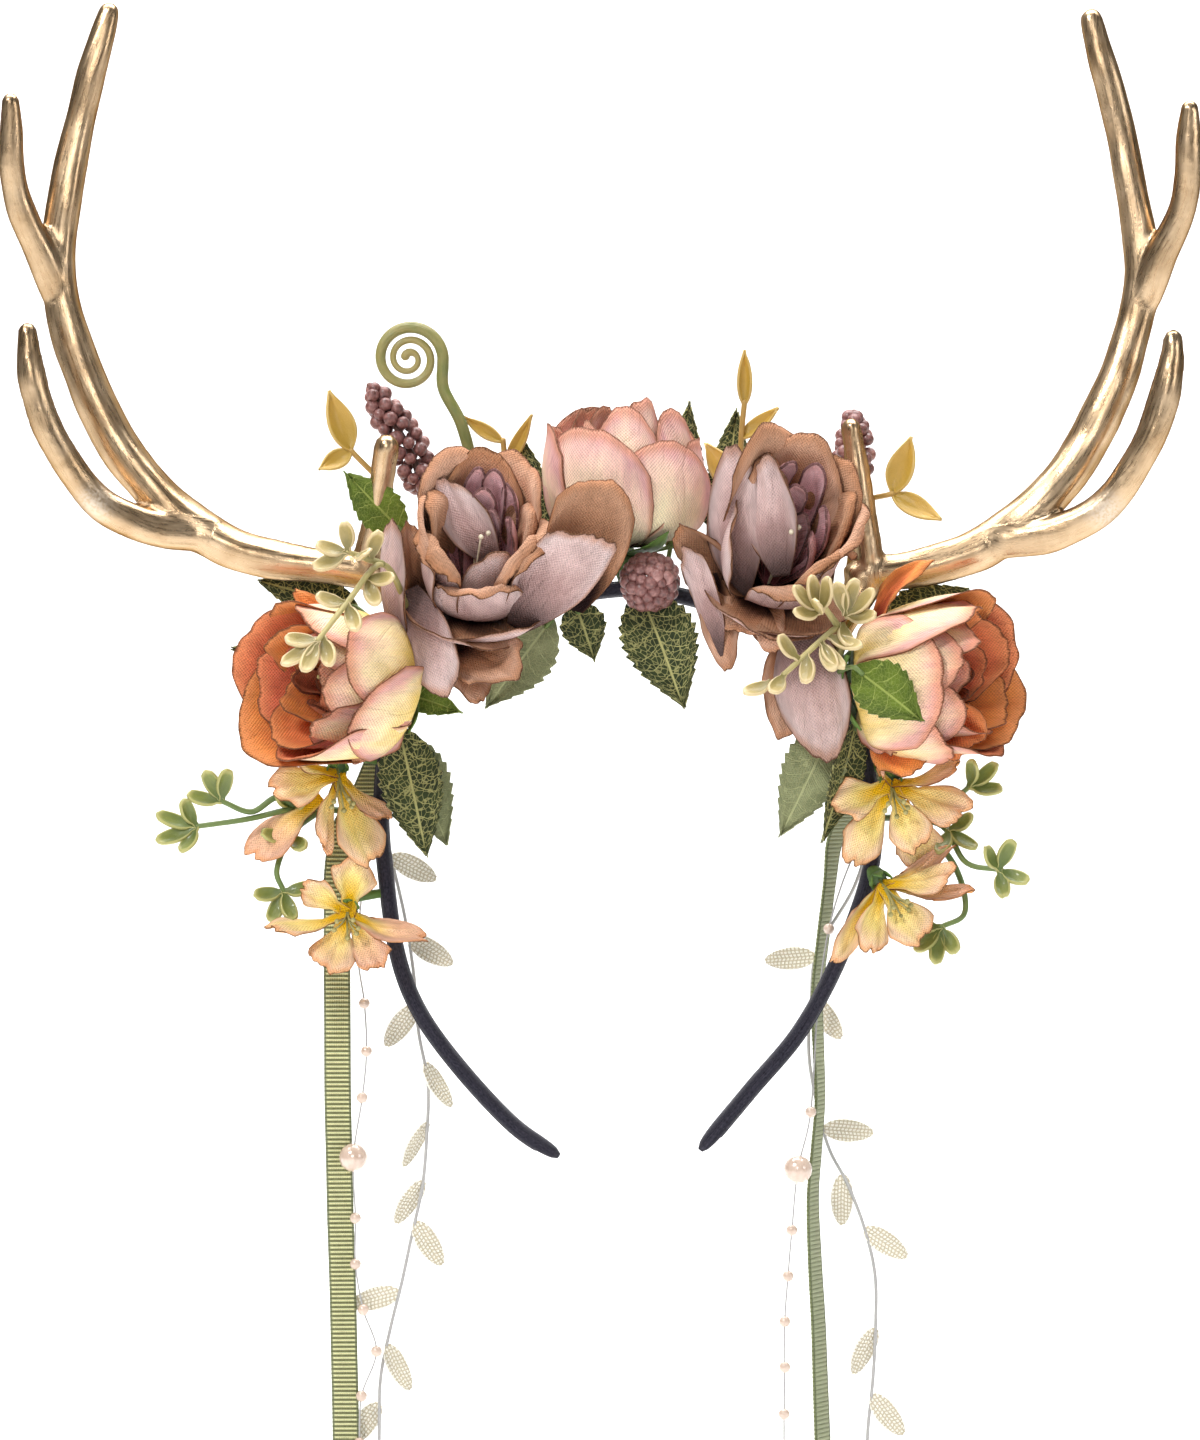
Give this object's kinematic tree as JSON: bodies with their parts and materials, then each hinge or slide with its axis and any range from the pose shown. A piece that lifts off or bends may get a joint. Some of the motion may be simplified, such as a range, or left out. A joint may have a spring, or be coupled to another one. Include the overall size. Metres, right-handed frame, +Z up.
{
  "type": "floral antler headband",
  "caption": "Satin head band with gilt antlers, silk roses, peonies and blossoms, leaves and sprigs, and hanging ribbons, bead strings and leaf trims.",
  "frame": {"origin": "inner face of the band at the crown of the head", "axes": "+Z up along the wearer's head, +X to the right as seen from the front, the front faces -Y"},
  "size_m": [0.333, 0.0747, 0.4113],
  "materials": {
    "band_satin": "dark satin ribbon wound tight over the band",
    "antler_gold": "champagne gold paint with a fine brushed grain",
    "petal_mauve": "matte printed silk, mauve outside and orange brown inside",
    "petal_peach": "matte printed silk, cream at the base and pink at the rim",
    "petal_coral": "matte printed silk, coral inside and pink outside",
    "petal_yellow": "matte printed silk, yellow with peach tips",
    "calyx_green": "satin moulded",
    "leaf_green": "matte printed silk with pale veins",
    "sprig_pale": "waxy moulded",
    "sprig_green": "waxy moulded",
    "wax_leaf_gold": "waxy moulded",
    "berry_plum": "dusty satin",
    "fern_green": "satin moulded",
    "ribbon_sage": "ribbed grosgrain",
    "pearl_blush": "pearl lustre",
    "trim_cream": "woven with a faint metallic thread"
  },
  "bodies": {
    "root": {"headband": "band_satin", "antler_left": "antler_gold", "antler_right": "antler_gold", "ribbon_left": "ribbon_sage", "ribbon_right": "ribbon_sage", "bead_string_left": "pearl_blush", "pearl_left": "pearl_blush", "bead_string_right": "pearl_blush", "pearl_right": "pearl_blush", "leaf_trim_left": "trim_cream", "leaf_trim_right": "trim_cream", "rose_left": "petal_mauve", "rose_right": "petal_mauve", "peony_top": "petal_peach", "peony_left": "petal_coral", "peony_right": "petal_coral", "blossom_left_upper": "petal_yellow", "blossom_left_lower": "petal_yellow", "blossom_right_upper": "petal_yellow", "blossom_right_lower": "petal_yellow", "calyx_rose_left": "calyx_green", "calyx_rose_right": "calyx_green", "calyx_peony_top": "calyx_green", "calyx_peony_left": "calyx_green", "calyx_peony_right": "calyx_green", "calyx_blossom_left_upper": "calyx_green", "calyx_blossom_left_lower": "calyx_green", "calyx_blossom_right_upper": "calyx_green", "calyx_blossom_right_lower": "calyx_green", "fern_curl": "fern_green", "berry_spike_left": "berry_plum", "berry_spike_right": "berry_plum", "berry_cluster_centre": "berry_plum", "wax_leaf_left": "wax_leaf_gold", "wax_leaf_right": "wax_leaf_gold", "wax_leaf_top": "wax_leaf_gold", "twig_leaf": "wax_leaf_gold", "sprig_pale_left": "sprig_pale", "sprig_pale_right": "sprig_pale", "sprig_green_left": "sprig_green", "sprig_green_right": "sprig_green", "leaf_centre": "leaf_green", "leaf_centre_small": "leaf_green", "leaf_rose_pale": "leaf_green", "leaf_left_front": "leaf_green", "leaf_left_back": "leaf_green", "leaf_left_bright": "leaf_green", "leaf_left_rolled": "leaf_green", "leaf_left_outer": "leaf_green", "leaf_left_low": "leaf_green", "leaf_right_pale": "leaf_green", "leaf_right_dark": "leaf_green", "leaf_right_bright": "leaf_green", "leaf_right_outer": "leaf_green", "leaf_top_left": "leaf_green", "leaf_top_middle": "leaf_green", "leaf_top_right": "leaf_green"}
  },
  "joints": []
}
